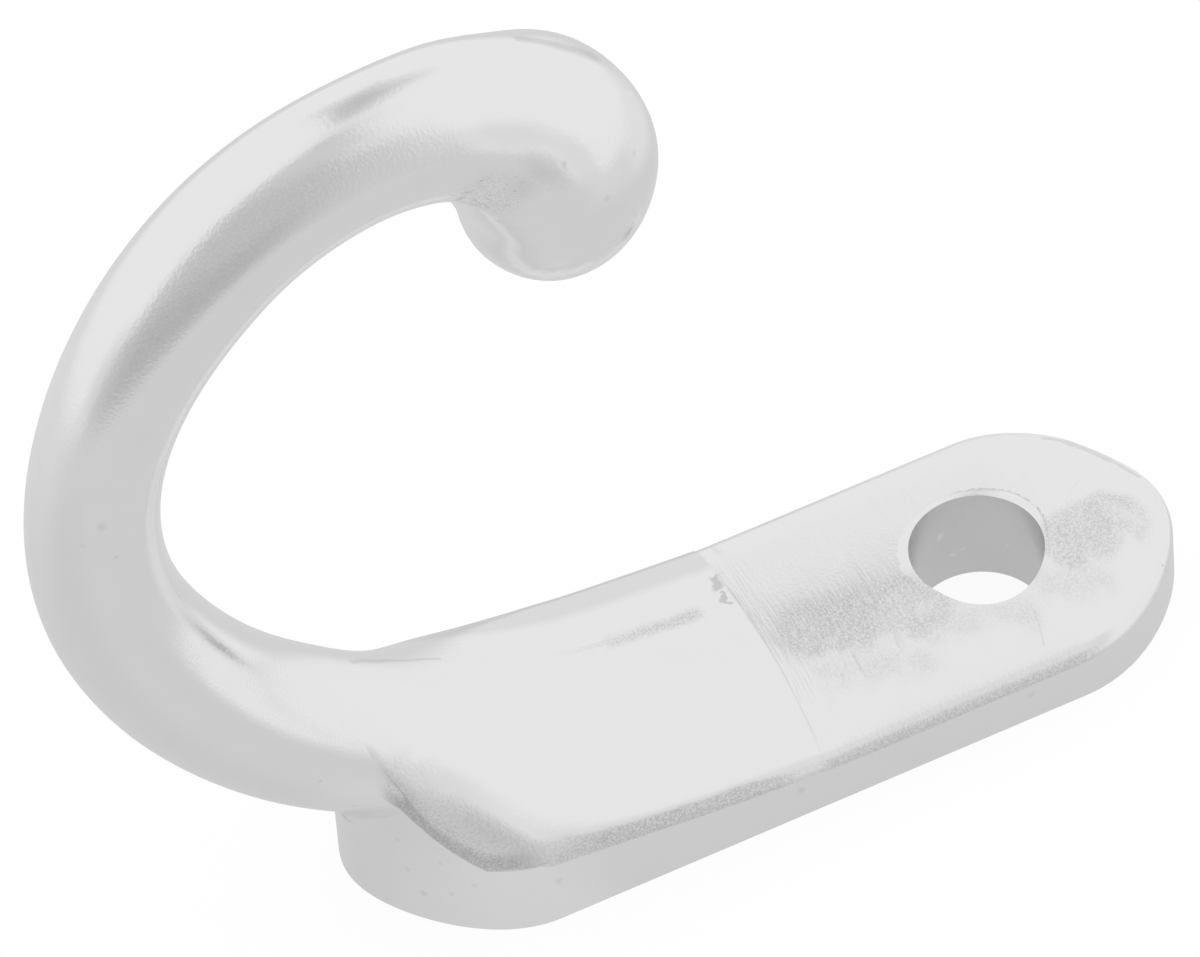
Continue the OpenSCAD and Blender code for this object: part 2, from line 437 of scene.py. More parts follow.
@dataclass
class CastingMesh:
    """One closed mesh of the whole casting, grown ring by ring with bmesh operators."""

    plate: PlateForm = PlateForm()
    bar: BarForm = BarForm()
    knob: KnobForm = KnobForm()
    hole: HoleForm = HoleForm()
    columns: int = 112
    crease_steps: int = 76
    row_gap: float = 0.16
    nose_rows: int = 72
    sleeve_rows: int = 26
    sleeve_reach: float = 2.0
    ring_gap: float = 0.27
    curl_rings: int = 96
    wall_rows: int = 9
    spread: float = 0.93
    behind: float = 8.0
    step_seam: float = 0.02
    slope_gap: float = 0.05
    joint_gap: float = 1e-6
    dip_range: Span = (-pi / 6, pi / 3)
    chin: tuple[float, float, float] = (-16.2, 1.7, 29.3)
    chin_reaches: tuple[float, ...] = (2.2, 1.8, 1.4)
    chin_passes: int = 30

    def shares(self) -> list[float]:
        """How far across the front each column lies, from -1 to 1, closer at the edges."""
        half, turn = self.columns // 2, self.spread * pi / 2
        top = sin(turn)
        return [sin(turn * (j - half) / half) / top for j in range(self.columns + 1)]

    def stations(self) -> list[float]:
        """Where the rows of the front lie, from the hook's root to the hole end's nose."""
        plate, seam = self.plate, self.step_seam
        root, step = -plate.root_at, -plate.step_at
        n = round((step - root) / self.row_gap)
        m = round((plate.nose_from - step) / self.row_gap)
        return [
            *(mix(root, step - seam, i / n) for i in range(n + 1)),
            *(mix(step + seam, plate.nose_from, i / m) for i in range(m + 1)),
        ]

    def links(self, verts: Sequence[BMVert], closed: bool = False) -> list[tuple[BMVert, BMVert]]:
        """Each pair of neighbours in a chain of vertices; a closed chain is a ring."""
        return list(zip(verts, verts[1:])) + ([(verts[-1], verts[0])] if closed else [])

    def row(self, bm: BMesh, points: Sequence[Vector], closed: bool = False) -> list[BMVert]:
        """Start a mesh with one chain of vertices joined by edges."""
        verts = [bm.verts.new(p) for p in points]
        for pair in self.links(verts, closed):
            bm.edges.new(pair)
        return verts

    def extend(
        self, bm: BMesh, verts: Sequence[BMVert], points: Sequence[Vector], closed: bool = False
    ) -> list[BMVert]:
        """Extrude a chain of vertices to a new chain of points.

        Args:
            bm: The mesh.
            verts: The chain's vertices, in order.
            points: Where the new vertices go, in the same order.
            closed: Whether the chain is a ring.

        Returns:
            The new vertices, in order.
        """
        edges = [bm.edges.get(pair) for pair in self.links(verts, closed)]
        made = bmesh.ops.extrude_edge_only(bm, edges=edges)["geom"]
        fresh = {g for g in made if isinstance(g, BMVert)}
        row = []
        for v, p in zip(verts, points):
            new = next(e.other_vert(v) for e in v.link_edges if e.other_vert(v) in fresh)
            new.co = p
            row.append(new)
        return row

    def plane_cut(self, turn: float) -> float:
        """Distance along the bar at which a line of its surface meets the root's plane."""
        bar, plate = self.bar, self.plate

        def past(s: float) -> float:
            p = bar.ring_point(s, turn)
            rise = smooth((p.z - plate.root_level) / plate.root_span)
            return -plate.root_at - plate.root_slant * rise - p.x

        return crossing(past, -self.behind, self.behind)

    def wall_cut(self, turn: float) -> float:
        """Distance along the bar at which a line of its surface meets the end wall."""

        def outside(s: float) -> float:
            p = self.bar.ring_point(s, turn)
            return abs(p.y - self.plate.middle(p.x)) - self.plate.half_width(p.x)

        return crossing(outside, -self.behind, self.behind)

    def dip(self, side: Side) -> float:
        """How far below the bar's flank the root's plane and the end wall meet.

        Args:
            side: The side of the casting.

        Returns:
            The angle round the bar, in radians.
        """

        def inside(a: float) -> float:
            turn = pi + a if side is Side.NEAR else -a
            p = self.bar.ring_point(self.plane_cut(turn), turn)
            return self.plate.half_width(p.x) - abs(p.y - self.plate.middle(p.x))

        return crossing(inside, *self.dip_range)

    def ring_turns(self) -> list[float]:
        """Angle round the bar of each vertex of a ring, in the order of the root's points."""
        start, end = pi + self.dip(Side.NEAR), -self.dip(Side.FAR)
        n, m = self.columns, self.crease_steps
        top = [mix(start, end, j / n) for j in range(n + 1)]
        under = [mix(end, start - 2 * pi, i / m) for i in range(1, m)]
        return top + under

    def root_cuts(self) -> list[float]:
        """Distance along the bar of each of the root's points."""
        turns, n = self.ring_turns(), self.columns
        return [self.plane_cut(t) for t in turns[: n + 1]] + [
            self.wall_cut(t) for t in turns[n + 1 :]
        ]

    def front_row(
        self, x: float, root: Sequence[Vector], slopes: Sequence[float]
    ) -> list[Vector]:
        """Points across the front at x, which take on the bar's own section at the root.

        Args:
            x: Where the row lies.
            root: The points of the root's own row.
            slopes: How steeply the bar's surface runs through each of them.

        Returns:
            The row's points.
        """
        plate = self.plate
        dome = [plate.front(x, c) for c in self.shares()]
        near = max(1 - (x + plate.root_at) / plate.corner_reach, 0) ** 2
        for end in (0, -1):
            lift = root[end].z - plate.wall(root[end].x)
            side = slice(0, len(root) // 2) if end == 0 else slice(len(root) // 2, None)
            for p, c in list(zip(dome, self.shares()))[side]:
                p.z += lift * near * abs(c) ** plate.root_pinch
        t = smooth((-plate.root_from - x) / (plate.root_at - plate.root_from))
        if t == 0:
            return dome
        run, half = x + plate.root_at, len(root) // 2
        top = root[half].x
        bend = plate.ridge(top + run) - plate.ridge(top) - slopes[half] * run
        pipe = [p + Vector((run, 0, k * run + bend)) for p, k in zip(root, slopes)]
        ends = (dome[0] - pipe[0], dome[-1] - pipe[-1])
        row = []
        for c, d, p in zip(self.shares(), dome, pipe):
            p += ends[0 if c < 0 else 1] * abs(c) ** plate.root_pinch
            row.append(d.lerp(p, t))
        return row

    def build_front(self, bm: BMesh, first: list[BMVert]) -> None:
        """Grow the front from the hook's root to the hole end, then round the nose."""
        plate, shares, bar = self.plate, self.shares(), self.bar
        root = [v.co.copy() for v in first]
        gap, slopes = self.slope_gap, []
        for t, s in zip(self.ring_turns(), self.root_cuts()[: len(root)]):
            ahead = bar.ring_point(s + gap, t) - bar.ring_point(s - gap, t)
            slopes.append(ahead.z / ahead.x)
        row = first
        for x in self.stations()[1:]:
            row = self.extend(bm, row, self.front_row(x, root, slopes))
        half = self.columns // 2
        spoke = row[: half + 1]
        rhos = [abs(c) for c in shares[: half + 1]]
        for i in range(1, self.nose_rows + 1):
            turn = pi * (i / self.nose_rows - 0.5)
            points = [plate.nose_point(turn, r) for r in rhos]
            spoke = self.extend(bm, spoke, points)
        bmesh.ops.remove_doubles(bm, verts=bm.verts[:], dist=WELD_GAP)

    def build_bar(self, bm: BMesh, first: list[BMVert]) -> None:
        """Grow the bar from its root over the bend, then round the curl to its tip."""
        bar, turns, cuts = self.bar, self.ring_turns(), self.root_cuts()
        s0, ring = self.sleeve_reach, first
        for i in range(1, self.sleeve_rows + 1):
            share = i / self.sleeve_rows
            points = [bar.ring_point(mix(s, s0, share), t) for s, t in zip(cuts, turns)]
            ring = self.extend(bm, ring, points, closed=True)
        end = bar.arc_end(2)
        n = round((end - s0) / self.ring_gap)
        for i in range(1, n + 1):
            s = mix(s0, end - self.joint_gap, i / n)
            ring = self.extend(bm, ring, [bar.ring_point(s, t) for t in turns], closed=True)
        self.build_curl(bm, ring, turns)

    def build_curl(self, bm: BMesh, ring: list[BMVert], turns: Sequence[float]) -> None:
        """Close the bar with the curl and the knob, down to the pole at its tip."""
        bar, knob = self.bar, self.knob
        hub, start = knob.hub(bar), radians(bar.headings[3])
        last = knob.last_heading(bar)
        for i in range(1, self.curl_rings + 1):
            share = sin(pi / 2 * i / (self.curl_rings + 1))
            heading = mix(start, last, share)
            inner, middle, outer, half = knob.soft_section(bar, heading, last)
            out = Vector((-sin(heading), 0, cos(heading)))
            points = []
            for t in turns:
                reach = middle - inner if sin(t) > 0 else outer - middle
                side = Vector((0, half * cos(t), 0))
                points.append(hub + (middle - reach * sin(t)) * out + side)
            ring = self.extend(bm, ring, points, closed=True)
        bmesh.ops.pointmerge(bm, verts=ring, merge_co=ring[0].co)

    def build_wall(self, bm: BMesh) -> None:
        """Drop the side wall from the open edge to the back, and close the back."""
        edges = [e for e in bm.edges if e.is_boundary]
        for left in range(self.wall_rows, 0, -1):
            made = bmesh.ops.extrude_edge_only(bm, edges=edges)["geom"]
            for v in (g for g in made if isinstance(g, BMVert)):
                v.co.z *= (left - 1) / left
            edges = [g for g in made if isinstance(g, BMEdge)]
        bmesh.ops.contextual_create(bm, geom=edges)

    def build_body(self) -> BMesh:
        """Make the whole casting, without its hole."""
        bm = bmesh.new()
        root = [self.bar.ring_point(s, t) for s, t in zip(self.root_cuts(), self.ring_turns())]
        first = self.row(bm, root, closed=True)
        self.build_bar(bm, first)
        self.build_front(bm, first[: self.columns + 1])
        self.build_wall(bm)
        bmesh.ops.recalc_face_normals(bm, faces=bm.faces[:])
        self.ease_chin(bm)
        return bm

    def ease_chin(self, bm: BMesh) -> None:
        """Rub down the two places under the knob where its round parts meet."""
        x, y, z = self.chin
        middles = Vector((x, y, z)), Vector((x, -y, z))
        axes = dict.fromkeys(("use_axis_x", "use_axis_y", "use_axis_z"), True)
        for reach in self.chin_reaches:
            chin = [v for v in bm.verts if any((v.co - m).length < reach for m in middles)]
            for _ in range(self.chin_passes):
                bmesh.ops.smooth_vert(bm, verts=chin, factor=0.5, **axes)

    def build_drill(self) -> BMesh:
        """Make the cutter for the screw hole by spinning its profile."""
        hole, bm = self.hole, bmesh.new()
        r = hole.diameter / 2
        profile = [(0.0, -hole.overrun), (r, -hole.overrun)]
        profile += [(r + out, z) for out, z in hole.rim]
        profile += [(0.0, hole.rim[-1][1])]
        verts = self.row(bm, [Vector((x, 0, z)) for x, z in profile])
        edges = [bm.edges.get(pair) for pair in self.links(verts)]
        way = {"axis": (0, 0, 1), "cent": (0, 0, 0), "angle": 2 * pi, "steps": hole.sides}
        bmesh.ops.spin(bm, geom=verts + edges, use_merge=True, **way)
        bmesh.ops.remove_doubles(bm, verts=bm.verts[:], dist=WELD_GAP)
        bmesh.ops.recalc_face_normals(bm, faces=bm.faces[:])
        return bm


def object_from(bm: BMesh, name: str) -> Object:
    """Turn a mesh in millimetres into a smooth-shaded object in metres."""
    bmesh.ops.scale(bm, vec=(MM, MM, MM), verts=bm.verts[:])
    mesh = bpy.data.meshes.new(name)
    bm.to_mesh(mesh)
    bm.free()
    mesh.shade_smooth()
    made = bpy.data.objects.new(name, mesh)
    bpy.context.scene.collection.objects.link(made)
    return made


def drill(body: Object, cutter: Object) -> None:
    """Cut one object out of another for good, and remove the cutter."""
    cut = body.modifiers.new("screw_hole", "BOOLEAN")
    cut.operation = "DIFFERENCE"
    cut.solver = "EXACT"
    cut.object = cutter
    graph = bpy.context.evaluated_depsgraph_get()
    done = bpy.data.meshes.new_from_object(body.evaluated_get(graph))
    body.modifiers.clear()
    body.data = done
    bpy.data.objects.remove(cutter)


def sharpen(body: Object) -> None:
    """Shade a mesh smooth, apart from edges that turn by more than the sharp angle."""
    body.data.shade_smooth()
    body.data.set_sharp_from_angle(angle=radians(SHARP_ANGLE))


# ---- shader building ----


def joined(operation: str) -> Callable[..., "Value"]:
    """A method of Value that adds one Math node, with the value as its first term."""

    def method(self: "Value", *others: "Value | float") -> "Value":
        """Join this value to the others."""
        return self.graph.math(operation, self, *others)

    return method


class Value:
    """A number that varies over a surface: a socket that does arithmetic."""

    def __init__(self, graph: "Graph", socket: NodeSocket) -> None:
        """Wrap an output socket of a graph."""
        self.graph = graph
        self.socket = socket

    __add__ = __radd__ = joined("ADD")
    __sub__ = joined("SUBTRACT")
    __mul__ = __rmul__ = joined("MULTIPLY")
    __pow__ = joined("POWER")
    size = joined("ABSOLUTE")
    at_most = joined("MINIMUM")
    at_least = joined("MAXIMUM")

    def __rsub__(self, other: float) -> "Value":
        """Difference, with the number first."""
        return self.graph.math("SUBTRACT", other, self)

    def __neg__(self) -> "Value":
        """Opposite."""
        return self * -1.0

    def ramp(self, low: float, high: float) -> "Value":
        """Ease from 0 at low to 1 at high; low may be the larger of the two."""
        flip = low > high
        sockets = {"Value": self, "From Min": min(low, high), "From Max": max(low, high)}
        sockets |= {"To Min": float(flip), "To Max": float(not flip)}
        settings = {"interpolation_type": "SMOOTHSTEP"}
        made = self.graph.node("ShaderNodeMapRange", settings, sockets)
        return Value(self.graph, made.outputs["Result"])


class Graph:
    """A node tree that nodes are added to."""

    def __init__(self, tree: NodeTree) -> None:
        """Start from an empty tree."""
        self.tree = tree
        tree.nodes.clear()

    def node(
        self,
        kind: str,
        settings: Mapping[str, object] | None = None,
        sockets: Mapping[str | int, object] | None = None,
    ) -> Node:
        """Add a node.

        Args:
            kind: The node's type.
            settings: Its properties, set first.
            sockets: A value or a link for each of its inputs.

        Returns:
            The node.
        """
        made = self.tree.nodes.new(kind)
        for name, value in (settings or {}).items():
            setattr(made, name, value)
        for name, value in (sockets or {}).items():
            source = value.socket if isinstance(value, Value) else value
            if isinstance(source, NodeSocket):
                self.tree.links.new(source, made.inputs[name])
            else:
                made.inputs[name].default_value = source
        return made

    def math(self, operation: str, *terms: Value | float) -> Value:
        """Add a Math node on one, two or three terms."""
        made = self.node("ShaderNodeMath", {"operation": operation}, dict(enumerate(terms)))
        return Value(self, made.outputs[0])

    def vectors(self, operation: str, *terms: object) -> Node:
        """Add a Vector Math node."""
        return self.node("ShaderNodeVectorMath", {"operation": operation}, dict(enumerate(terms)))

    def split(self, vector: NodeSocket) -> tuple[Value, Value, Value]:
        """The three parts of a vector."""
        made = self.node("ShaderNodeSeparateXYZ", None, {"Vector": vector})
        x, y, z = (Value(self, s) for s in made.outputs)
        return x, y, z

    def scaled(self, vector: NodeSocket, by: Sequence[float]) -> NodeSocket:
        """A vector with each part multiplied by its own number."""
        return self.vectors("MULTIPLY", vector, tuple(by)).outputs[0]

    def place(self) -> NodeSocket:
        """The place on the object, in millimetres."""
        return self.scaled(self.node("ShaderNodeTexCoord").outputs["Object"], (1 / MM,) * 3)

    def heading(self, x: Value, y: Value) -> Value:
        """Degrees round from the front, positive to the right."""
        return self.math("ARCTAN2", x, -y) * degrees(1.0)

    def blend(self, factor: Value, a: Sequence[float], b: Sequence[float]) -> NodeSocket:
        """A colour between two."""
        sockets = {0: factor, 6: (*a, 1.0), 7: (*b, 1.0)}
        return self.node("ShaderNodeMix", {"data_type": "RGBA"}, sockets).outputs[2]

    def grey_shader(self, kind: str, tone: float, **sockets: object) -> Node:
        """Add a shader of one grey tone."""
        return self.node(kind, None, {"Color": (tone, tone, tone, 1.0), **sockets})

    def mix_shaders(self, share: Value, a: Node, b: Node) -> Node:
        """Lay one shader over another."""
        return self.node("ShaderNodeMixShader", None, {0: share, 1: a.outputs[0], 2: b.outputs[0]})


def new_material(name: str) -> tuple[Material, Graph]:
    """Make a material, and the graph to fill it with."""
    material = bpy.data.materials.new(name)
    material.use_nodes = True
    return material, Graph(material.node_tree)


def any_of(masks: Sequence[Value]) -> Value:
    """The strongest of several masks."""
    strongest = masks[0]
    for mask in masks[1:]:
        strongest = strongest.at_least(mask)
    return strongest


# ---- what finishes are made of ----


def each(kind: type, *rows: tuple[float, ...]) -> tuple:
    """One of a kind for each row of its values."""
    return tuple(kind(*row) for row in rows)


@dataclass(frozen=True)
class Noise:
    """Cloudy noise: how fine it is along each axis, per millimetre, and how detailed.

    With a span it stands out as patches from 0 to 1, and without one it lies about 0.
    """

    fineness: tuple[float, ...]
    detail: float = 2.0
    span: Span | None = None

    def make(self, graph: Graph, mm: NodeSocket) -> Value:
        """Add the noise at a place in millimetres."""
        place = graph.scaled(mm, self.fineness)
        sockets = {"Vector": place, "Scale": 1.0, "Detail": self.detail}
        made = Value(graph, graph.node("ShaderNodeTexNoise", None, sockets).outputs[0])
        return made.ramp(*self.span) if self.span else made - 0.5


class Surface:
    """What masks are worked out from: place in millimetres, rise of the normal and cloud."""

    def __init__(self, graph: Graph, cloud: Noise) -> None:
        """Read the surface; the cloud is the slow noise that breaks up edges."""
        self.graph = graph
        self.mm = graph.place()
        self.x, self.y, self.z = graph.split(self.mm)
        self.normal = graph.node("ShaderNodeNewGeometry").outputs["Normal"]
        self.rise = graph.split(self.normal)[2]
        self.cloud = cloud.make(graph, self.mm)


@dataclass(frozen=True)
class Stroke:
    """A mark drawn over the casting from one point to another in plan, in millimetres."""

    x0: float
    y0: float
    x1: float
    y1: float
    width: float = 0.035
    blur: float = 0.7

    def mask(self, x: Value, y: Value) -> Value:
        """Ease from 1 along the stroke to 0 at its width.

        Args:
            x: Place along X, in millimetres.
            y: Place along Y, in millimetres.

        Returns:
            The mask.
        """
        dx, dy = self.x1 - self.x0, self.y1 - self.y0
        across, along = x - self.x0, y - self.y0
        t = (across * dx + along * dy) * (1 / (dx * dx + dy * dy))
        t = t.at_least(0.0).at_most(1.0)
        off_x, off_y = across - t * dx, along - t * dy
        gap = (off_x * off_x + off_y * off_y) ** 0.5
        return gap.ramp(self.width, self.width * (1 - self.blur))


def drawn(marks: Sequence[Stroke], x: Value, y: Value) -> Value:
    """1 along any of several strokes."""
    return any_of([mark.mask(x, y) for mark in marks])


@dataclass(frozen=True)
class Spot:
    """A round place on the casting, in millimetres, such as a pit or a patch of painted shade."""

    x: float
    y: float
    z: float
    radius: float
    blur: float = 1.0

    def mask(self, s: Surface) -> Value:
        """1 in the middle, easing to 0 at the radius over a share of it."""
        gap = s.graph.vectors("DISTANCE", s.mm, (self.x, self.y, self.z)).outputs["Value"]
        return Value(s.graph, gap).ramp(self.radius, self.radius * (1 - self.blur))


# ---- finishes ----


@dataclass(frozen=True)
class ShoulderGritAndReflection:
    """The gritty band that the wheel missed, along the near shoulder and the bar's root; its
    darker colour is a painted reflection of the dark floor and bend in front of it.

    A span is where something eases in. The facings are the upward part of the normal at
    the band's upper edge. The crease is where the bar parts from the end wall.
    """

    root: Span = (-17.0, -20.2)
    behind_step: Span = (-8.8, -10.8)
    tail: Span = (-22.9, -22.0)
    nose: Span = (3.0, 1.2)
    bar: Span = (8.6, 7.8)
    near: Span = (0.4, 1.4)
    facing: float = 0.34
    facing_at_root: float = 0.02
    facing_behind: float = 0.14
    facing_sway: float = 0.18
    crease: Span = (-19.9, 2.95)
    crease_slope: float = 0.70
    crease_bend: float = 0.22
    past_crease: Span = (-18.5, -15.5)
    past_drop: float = 3.0
    step_at: float = -8.6
    core_from: Span = (-17.8, -19.2)
    fade_from: Span = (-16.5, -18.5)
    strong_until: Span = (-17.0, -15.5)

    def crease_line(self, x: Value) -> Value:
        """Height of the crease at x."""
        past = (self.crease[0] - x).at_least(0.0)
        return past * (past * self.crease_bend + self.crease_slope) + self.crease[1]

    def mask(self, s: Surface) -> Value:
        """The whole band."""
        root = s.x.ramp(*self.root)
        top = root * self.facing_at_root + self.facing + s.cloud * self.facing_sway
        top = top + s.x.ramp(*self.behind_step) * self.facing_behind
        # The band's top follows how far the normal rises, so the darkening is a painted reflection
        # that follows the surface's facing.
        upper = (s.rise - top).ramp(0.10, -0.10)
        edge = self.crease_line(s.x) - s.x.ramp(*self.past_crease) * self.past_drop
        lower = (s.z - edge + s.cloud * 0.15).ramp(-0.05, 0.08)
        off_wall = s.rise.ramp(0.01, 0.05).at_least(root)
        reach = s.x.ramp(*self.tail) * s.x.ramp(*self.nose) * s.z.ramp(*self.bar)
        pinch = 1.0 - (s.x - self.step_at).size().ramp(1.1, 0.2) * 0.7
        return upper * lower * off_wall * reach * pinch * (-s.y).ramp(*self.near)

    def core(self, s: Surface) -> Value:
        """The darkest stripe of the painted reflection, just above the crease."""
        over = s.z - self.crease_line(s.x)
        return over.ramp(1.0, 0.5) * s.x.ramp(*self.core_from)

    def strength(self, s: Surface) -> Value:
        """How dark the band's painted reflection is: less on the root where it faces higher up,
        and more behind the step.
        """
        fade = s.x.ramp(*self.fade_from) * s.rise.ramp(0.10, 0.34) * 0.8
        strong = s.x.ramp(*self.behind_step) * s.x.ramp(*self.strong_until)
        return 1.0 - fade + strong * 0.25


@dataclass(frozen=True)
class PlatedMetal:
    """Bright plating over a fine cast grain, linished across the hole end.

    The depth of a mark is how far it goes from bright to dull. Where it has two depths they
    are for the whole mark and for the specks in it. Heights are in millimetres.
    """

    bright: tuple[float, float, float] = (0.87, 0.87, 0.87)
    dull: tuple[float, float, float] = (0.40, 0.40, 0.40)
    roughness: float = 0.17
    cloud_rough: float = 0.06
    grit_rough: float = 0.06
    shoulder_rough: float = 0.14
    bore_rough: float = 0.12
    shoulder: ShoulderGritAndReflection = ShoulderGritAndReflection()
    # Depths of the shoulder band's painted reflection, for the whole band and for its specks; its
    # grit is the bump and roughness.
    shoulder_reflection_depth: Span = (0.08, 0.32)
    reflection_core_depth: float = 0.34
    grit_depth: Span = (0.12, 0.34)
    lines_depth: float = 0.22
    arc_depth: float = 0.32
    line_depth: float = 0.30
    # How dark the painted reflection along the far edge is.
    far_reflection_depth: float = 0.22
    crease_shade_depth: float = 0.20
    pit_depth: float = 0.18
    hole_shade_depth: float = 0.18
    knob_crease_shade_depth: float = 0.20
    nick_depth: float = 0.5
    facing_reflection_depth: float = 0.10
    step_depth: float = 0.05
    cloud_depth: float = 0.03
    grain_height: float = 0.005
    grit_height: float = 0.016
    lines_height: float = 0.018
    deep_lines_height: float = 0.006
    rings_height: float = 0.01
    crease_height: float = 0.16
    nick_height: float = 0.05
    pit_height: float = -0.005
    hair_height: float = -0.012
    step_height: float = -0.003
    step_x: float = -8.0
    bore_edge: Span = (2.32, 2.27)
    # Faces turned this way are darkened: a painted reflection of the tent's open grey side.
    reflection_facing_way: tuple[float, float, float] = (-0.40, -0.69, 0.60)
    reflection_facing_span: Span = (0.90, 0.98)
    cloud: Noise = Noise((0.9,) * 3)
    grain: Noise = Noise((8.0,) * 3, 3.0)
    speck: Noise = Noise((13.0,) * 3, 4.0, (0.62, 0.38))
    lines: Noise = Noise((9.0, 0.55, 1.0), 4.0)
    deep_lines: Noise = Noise((3.2, 0.28, 1.0), 2.0, (0.55, 0.72))
    wobble: Noise = Noise((3.0,) * 3)
    wander: Noise = Noise((0.0, 1.3, 0.0))
    rings: Noise = Noise((0.05, 0.05, 5.0), 3.0)
    glints: Noise = Noise((1.9,) * 3, 1.0, (0.74, 0.70))
    bumps: Noise = Noise((2.6,) * 3, 3.0)
    pits: tuple[Spot, ...] = each(
        Spot,
        (-30.8, -1.5, 24.0, 0.30), (-31.4, -1.2, 23.2, 0.16), (-30.5, -1.6, 22.5, 0.16),
        (-14.6, -2.4, 32.9, 0.20), (-13.4, -2.9, 31.1, 0.22), (-12.0, -2.1, 31.7, 0.20),
        (-23.5, -1.8, 6.4, 0.18), (-22.6, -2.1, 6.6, 0.14), (-24.7, -2.1, 8.6, 0.14),
        (-22.1, -1.7, 3.7, 0.16), (-21.9, -1.9, 2.3, 0.20), (-21.1, -2.8, 3.1, 0.14),
        (-21.6, -2.3, 1.3, 0.22), (-20.9, -3.0, 1.6, 0.16), (-20.3, -3.5, 2.2, 0.18),
        (-17.7, -4.4, 1.9, 0.24), (-8.9, -4.4, 1.3, 0.26), (-0.4, -4.4, 1.2, 0.24),
    )
    hairs: tuple[Stroke, ...] = each(
        Stroke,
        (4.4, 1.2, 2.3, -0.7), (-3.1, 0.7, -3.3, -1.1), (0.6, -2.9, 0.4, -3.9),
        (5.6, -2.4, 6.2, -2.3), (0.9, -2.2, 1.9, -1.4, 0.05), (1.3, -2.1, 2.1, -1.2, 0.04),
    )
    belt_marks: tuple[Stroke, ...] = each(
        Stroke,
        (-6.3, -0.5, -2.7, -1.1, 1.6, 0.55), (2.9, -1.1, 4.9, -0.6, 1.35, 0.4),
    )
    faint_marks: tuple[Stroke, ...] = each(
        Stroke,
        (-3.0, -2.0, 0.4, -2.8, 0.8, 0.9), (1.3, -2.3, 3.2, -2.6, 0.9, 0.9),
        (-6.6, -2.2, -3.6, -3.0, 0.9, 0.9),
    )
    smear: tuple[Stroke, ...] = each(
        Stroke,
        (-14.6, 1.9, -12.0, 1.75, 0.22, 0.9), (-12.6, 1.75, -9.5, 1.72, 0.46, 1.0),
    )
    root_line: tuple[Stroke, ...] = each(
        Stroke,
        (-22.0, 0.85, -20.3, 1.42, 0.17, 1.0), (-20.3, 1.42, -18.6, 1.85, 0.13, 1.0),
    )
    rim_arc: tuple[Stroke, ...] = each(
        Stroke,
        (4.3, 3.35, 5.0, 2.95, 0.20, 0.9), (5.0, 2.95, 6.0, 2.2, 0.34, 0.7),
        (6.0, 2.2, 6.6, 1.2, 0.20, 0.8),
    )
    # Painted reflection: dark stripes over the top of the curl.
    bar_reflection_streaks: tuple[Stroke, ...] = each(
        Stroke,
        (-20.8, 0.30, -19.2, 0.59, 0.42, 0.9), (-19.2, 0.59, -16.9, 0.45, 0.26, 0.9),
        (-14.0, 1.35, -13.0, 1.0, 0.34, 0.9), (-13.0, 1.0, -12.0, 0.6, 0.42, 0.9),
    )
    # The knob's crease: rough bumps for real, and painted shade in its colour.
    knob_crease: Spot = Spot(-17.0, -2.0, 32.3, 1.6, 0.6)
    # Painted shade where the knob meets the bar.
    crease_shade_spot: Spot = Spot(-16.0, -2.3, 32.5, 0.9)
    step_nicks: tuple[Stroke, ...] = each(
        Stroke,
        (-8.15, 3.0, -8.25, 2.5, 0.26, 0.8), (-8.3, 2.1, -8.2, 1.7, 0.15, 0.8),
    )

    def linished(self, s: Surface) -> Value:
        """Where the belt went over the hole end, strongest next to the step."""
        face = s.rise.ramp(0.80, 0.92) * s.x.ramp(self.step_x - 0.02, self.step_x + 0.02)
        heart = (s.y + 0.9 + s.cloud).size().ramp(2.4, 0.8) * s.x.ramp(-1.0, -5.0)
        return face * (heart * 0.8 + s.x.ramp(-6.7, -7.6) * 0.6 + 0.1)

    def gritty(self, s: Surface) -> Value:
        """The patches that the belt left gritty round the hole, and the smear behind the step."""
        x, y = s.x + s.cloud * 0.5, s.y + s.cloud * 0.9
        patchy = (s.cloud * 2.4 + 0.85).at_most(1.0).at_least(0.0)
        worn = drawn(self.belt_marks, x, y).at_least(drawn(self.faint_marks, x, y) * 0.5)
        smear = drawn(self.smear, x, s.y + s.cloud * 0.4)
        smear = smear * s.x.ramp(-15.2, -10.8) * s.z.ramp(7.0, 6.0)
        return (worn * patchy * s.rise.ramp(0.75, 0.88)).at_least(smear)

    def soft_marks(self, s: Surface) -> Value:
        """How dull the marks are that leave no dent: the arc, the root line, the painted
        reflections over the curl and along the far edge, and the painted shade by the knob's
        crease.
        """
        x = s.x + s.cloud * 0.5
        # Painted reflection: dark stripes over the top of the curl, only above its crown.
        reflection_streaks = drawn(self.bar_reflection_streaks, x, s.y) * s.z.ramp(33.0, 33.6)
        reflection_streaks = reflection_streaks * (s.x.ramp(-16.0, -15.0) * 0.18 + 0.22)
        reflection_streaks = reflection_streaks * s.x.ramp(-16.8, -18.8).at_least(s.x.ramp(-15.5, -14.5))
        arc = drawn(self.rim_arc, x, s.y + s.cloud * 0.4) * s.rise.ramp(0.15, 0.3)
        line = drawn(self.root_line, s.x, s.y + s.cloud * 0.25) * s.z.ramp(12.0, 11.0)
        # Painted reflection: a darker strip along the far edge behind the step.
        far_reflection_strip = s.y.ramp(3.2, 3.75) * s.x.ramp(-7.9, -8.1) * s.z.ramp(9.0, 7.5)
        far_reflection_strip = far_reflection_strip * s.rise.ramp(0.1, 0.3) * self.far_reflection_depth
        # Painted shade at the knob's crease.
        crease_shade = self.crease_shade_spot.mask(s) * self.crease_shade_depth
        return any_of([reflection_streaks, arc * self.arc_depth, line * self.line_depth, far_reflection_strip, crease_shade])

